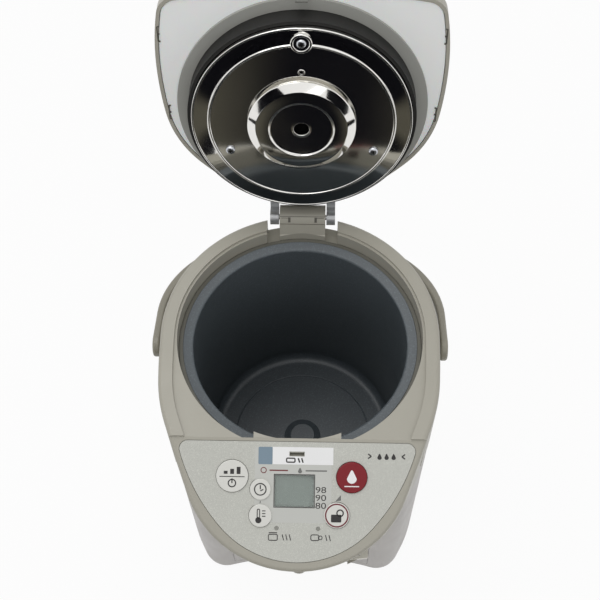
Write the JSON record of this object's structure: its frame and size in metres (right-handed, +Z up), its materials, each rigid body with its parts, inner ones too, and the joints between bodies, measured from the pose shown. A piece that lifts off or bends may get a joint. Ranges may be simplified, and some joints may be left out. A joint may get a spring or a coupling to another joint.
{
  "type": "electric thermo pot",
  "caption": "Electric thermo pot with a hinged lid standing open, a beak-shaped head with control keys and spout, a dark coated vessel, a pump and a carrying handle.",
  "frame": {"origin": "on the table, on the vessel's axis", "axes": "+Z up, -Y towards the spout and control panel, +Y towards the lid's hinge, +X to the right of someone facing the panel"},
  "size_m": [0.2136, 0.3276, 0.4572],
  "materials": {
    "beige": "fine satin moulding",
    "casing_beige": "fine satin moulding",
    "panel_sheet": "printed sheet, soft gloss",
    "button_pale": "soft gloss",
    "button_red": "soft gloss",
    "window": "clear",
    "lcd": "display glass",
    "dark_inner": "plain",
    "board_green": "laminate",
    "board_parts": "mixed parts",
    "vessel_coat": "dark fluorine coat",
    "steel": "plain",
    "mirror_steel": "polished steel",
    "zinc": "zinc plate",
    "mica": "pressed mica",
    "silicone": "milky silicone",
    "seal": "black rubber",
    "gasket": "black silicone",
    "ring_grey": "satin",
    "liner_white": "satin",
    "arm_silver": "silver paint",
    "white_plastic": "satin",
    "foot_rubber": "plain"
  },
  "bodies": {
    "pot": {"foot_ring": "foot_rubber", "base_plate": "casing_beige", "base_screws": "zinc", "power_board": "board_green", "board_components": "board_parts", "inlet_socket": "dark_inner", "inlet_pins": "zinc", "body_casing": "casing_beige", "front_cover": "casing_beige", "gauge_window": "window", "gauge_tube": "window", "vessel_liner": "vessel_coat", "vessel_jacket": "steel", "vessel_seal": "seal", "suction_strainer": "steel", "heater_ring": "mica", "thermistor": "zinc", "pump_motor": "steel", "motor_bracket": "white_plastic", "pump_housing": "white_plastic", "pump_cover": "white_plastic", "pump_screws": "zinc", "suction_hose": "silicone", "delivery_hose": "silicone", "outlet_tube": "silicone", "spout_nozzle": "beige", "top_frame": "beige", "beak_housing": "beige", "beak_underside": "beige", "control_panel": "panel_sheet", "display_window": "window", "display_lcd": "lcd", "lcd_holder": "white_plastic", "control_board": "board_green", "tact_switches": "dark_inner", "indicator_lights": "window", "hinge_block": "beige"},
    "lid": {"hinge_pin": "steel", "lid_arms": "arm_silver", "lid_cover": "beige", "lid_liner": "liner_white", "lid_ring": "ring_grey", "lid_gasket": "gasket", "inner_plate": "mirror_steel", "steam_cap": "mirror_steel", "lid_screws": "zinc", "ball_cage": "white_plastic", "steam_vent": "ring_grey"},
    "ball": {"tip_over_ball": "steel"},
    "lever": {"latch_lever": "beige"},
    "hook": {"latch_hook": "steel"},
    "carry_handle": {"handle": "beige", "handle_pivots": "zinc"},
    "mode_key": {"button_mode": "button_pale"},
    "timer_key": {"button_timer": "button_pale"},
    "temperature_key": {"button_temperature": "button_pale"},
    "dispense_key": {"button_dispense": "button_red"},
    "unlock_key": {"button_unlock": "button_pale"},
    "rotor": {"magnet_rotor": "dark_inner"},
    "impeller": {"pump_impeller": "white_plastic"}
  },
  "joints": [
    {"name": "lid_hinge", "type": "hinge", "parent": "pot", "child": "lid", "pos_m": [0, 0.1007, 0.2701], "axis": [-1, 0, 0], "range_deg": [-104.5, 0]},
    {"name": "handle_swing", "type": "hinge", "parent": "pot", "child": "carry_handle", "pos_m": [0, -0.0015, 0.255], "axis": [1, 0, 0], "range_deg": [0, 22]},
    {"name": "mode_press", "type": "slide", "parent": "pot", "child": "mode_key", "axis": [0, 0.4226, -0.9063], "range_m": [0, 0.0008], "stiffness_N_per_m": 400, "springref_m": -0.001},
    {"name": "timer_press", "type": "slide", "parent": "pot", "child": "timer_key", "axis": [0, 0.4226, -0.9063], "range_m": [0, 0.0008], "stiffness_N_per_m": 400, "springref_m": -0.001},
    {"name": "temperature_press", "type": "slide", "parent": "pot", "child": "temperature_key", "axis": [0, 0.4226, -0.9063], "range_m": [0, 0.0008], "stiffness_N_per_m": 400, "springref_m": -0.001},
    {"name": "dispense_press", "type": "slide", "parent": "pot", "child": "dispense_key", "axis": [0, 0.4226, -0.9063], "range_m": [0, 0.0008], "stiffness_N_per_m": 400, "springref_m": -0.001},
    {"name": "unlock_press", "type": "slide", "parent": "pot", "child": "unlock_key", "axis": [0, 0.4226, -0.9063], "range_m": [0, 0.0008], "stiffness_N_per_m": 400, "springref_m": -0.001},
    {"name": "lever_lift", "type": "hinge", "parent": "lid", "child": "lever", "pos_m": [0, 0.15862, 0.42059], "axis": [-1, 0, 0], "range_deg": [0, 15], "stiffness_Nm_per_rad": 0.08, "springref_deg": -17.19},
    {"name": "hook_slide", "type": "slide", "parent": "lid", "child": "hook", "axis": [0, -0.2504, -0.9681], "range_m": [0, 0.001]},
    {"name": "ball_roll", "type": "slide", "parent": "lid", "child": "ball", "axis": [0, 0.9681, -0.2504], "range_m": [-0.003, 0]},
    {"name": "rotor_spin", "type": "hinge", "parent": "pot", "child": "rotor", "pos_m": [0, -0.06, 0.04], "axis": [0, 0, 1], "continuous": true},
    {"name": "impeller_spin", "type": "hinge", "parent": "pot", "child": "impeller", "pos_m": [0, -0.06, 0.05], "axis": [0, 0, 1], "continuous": true}
  ],
  "couplings": [
    {"joint": "hook_slide", "follows": "lever_lift", "m_per_rad": 0.0038},
    {"joint": "impeller_spin", "follows": "rotor_spin", "ratio": 1}
  ]
}
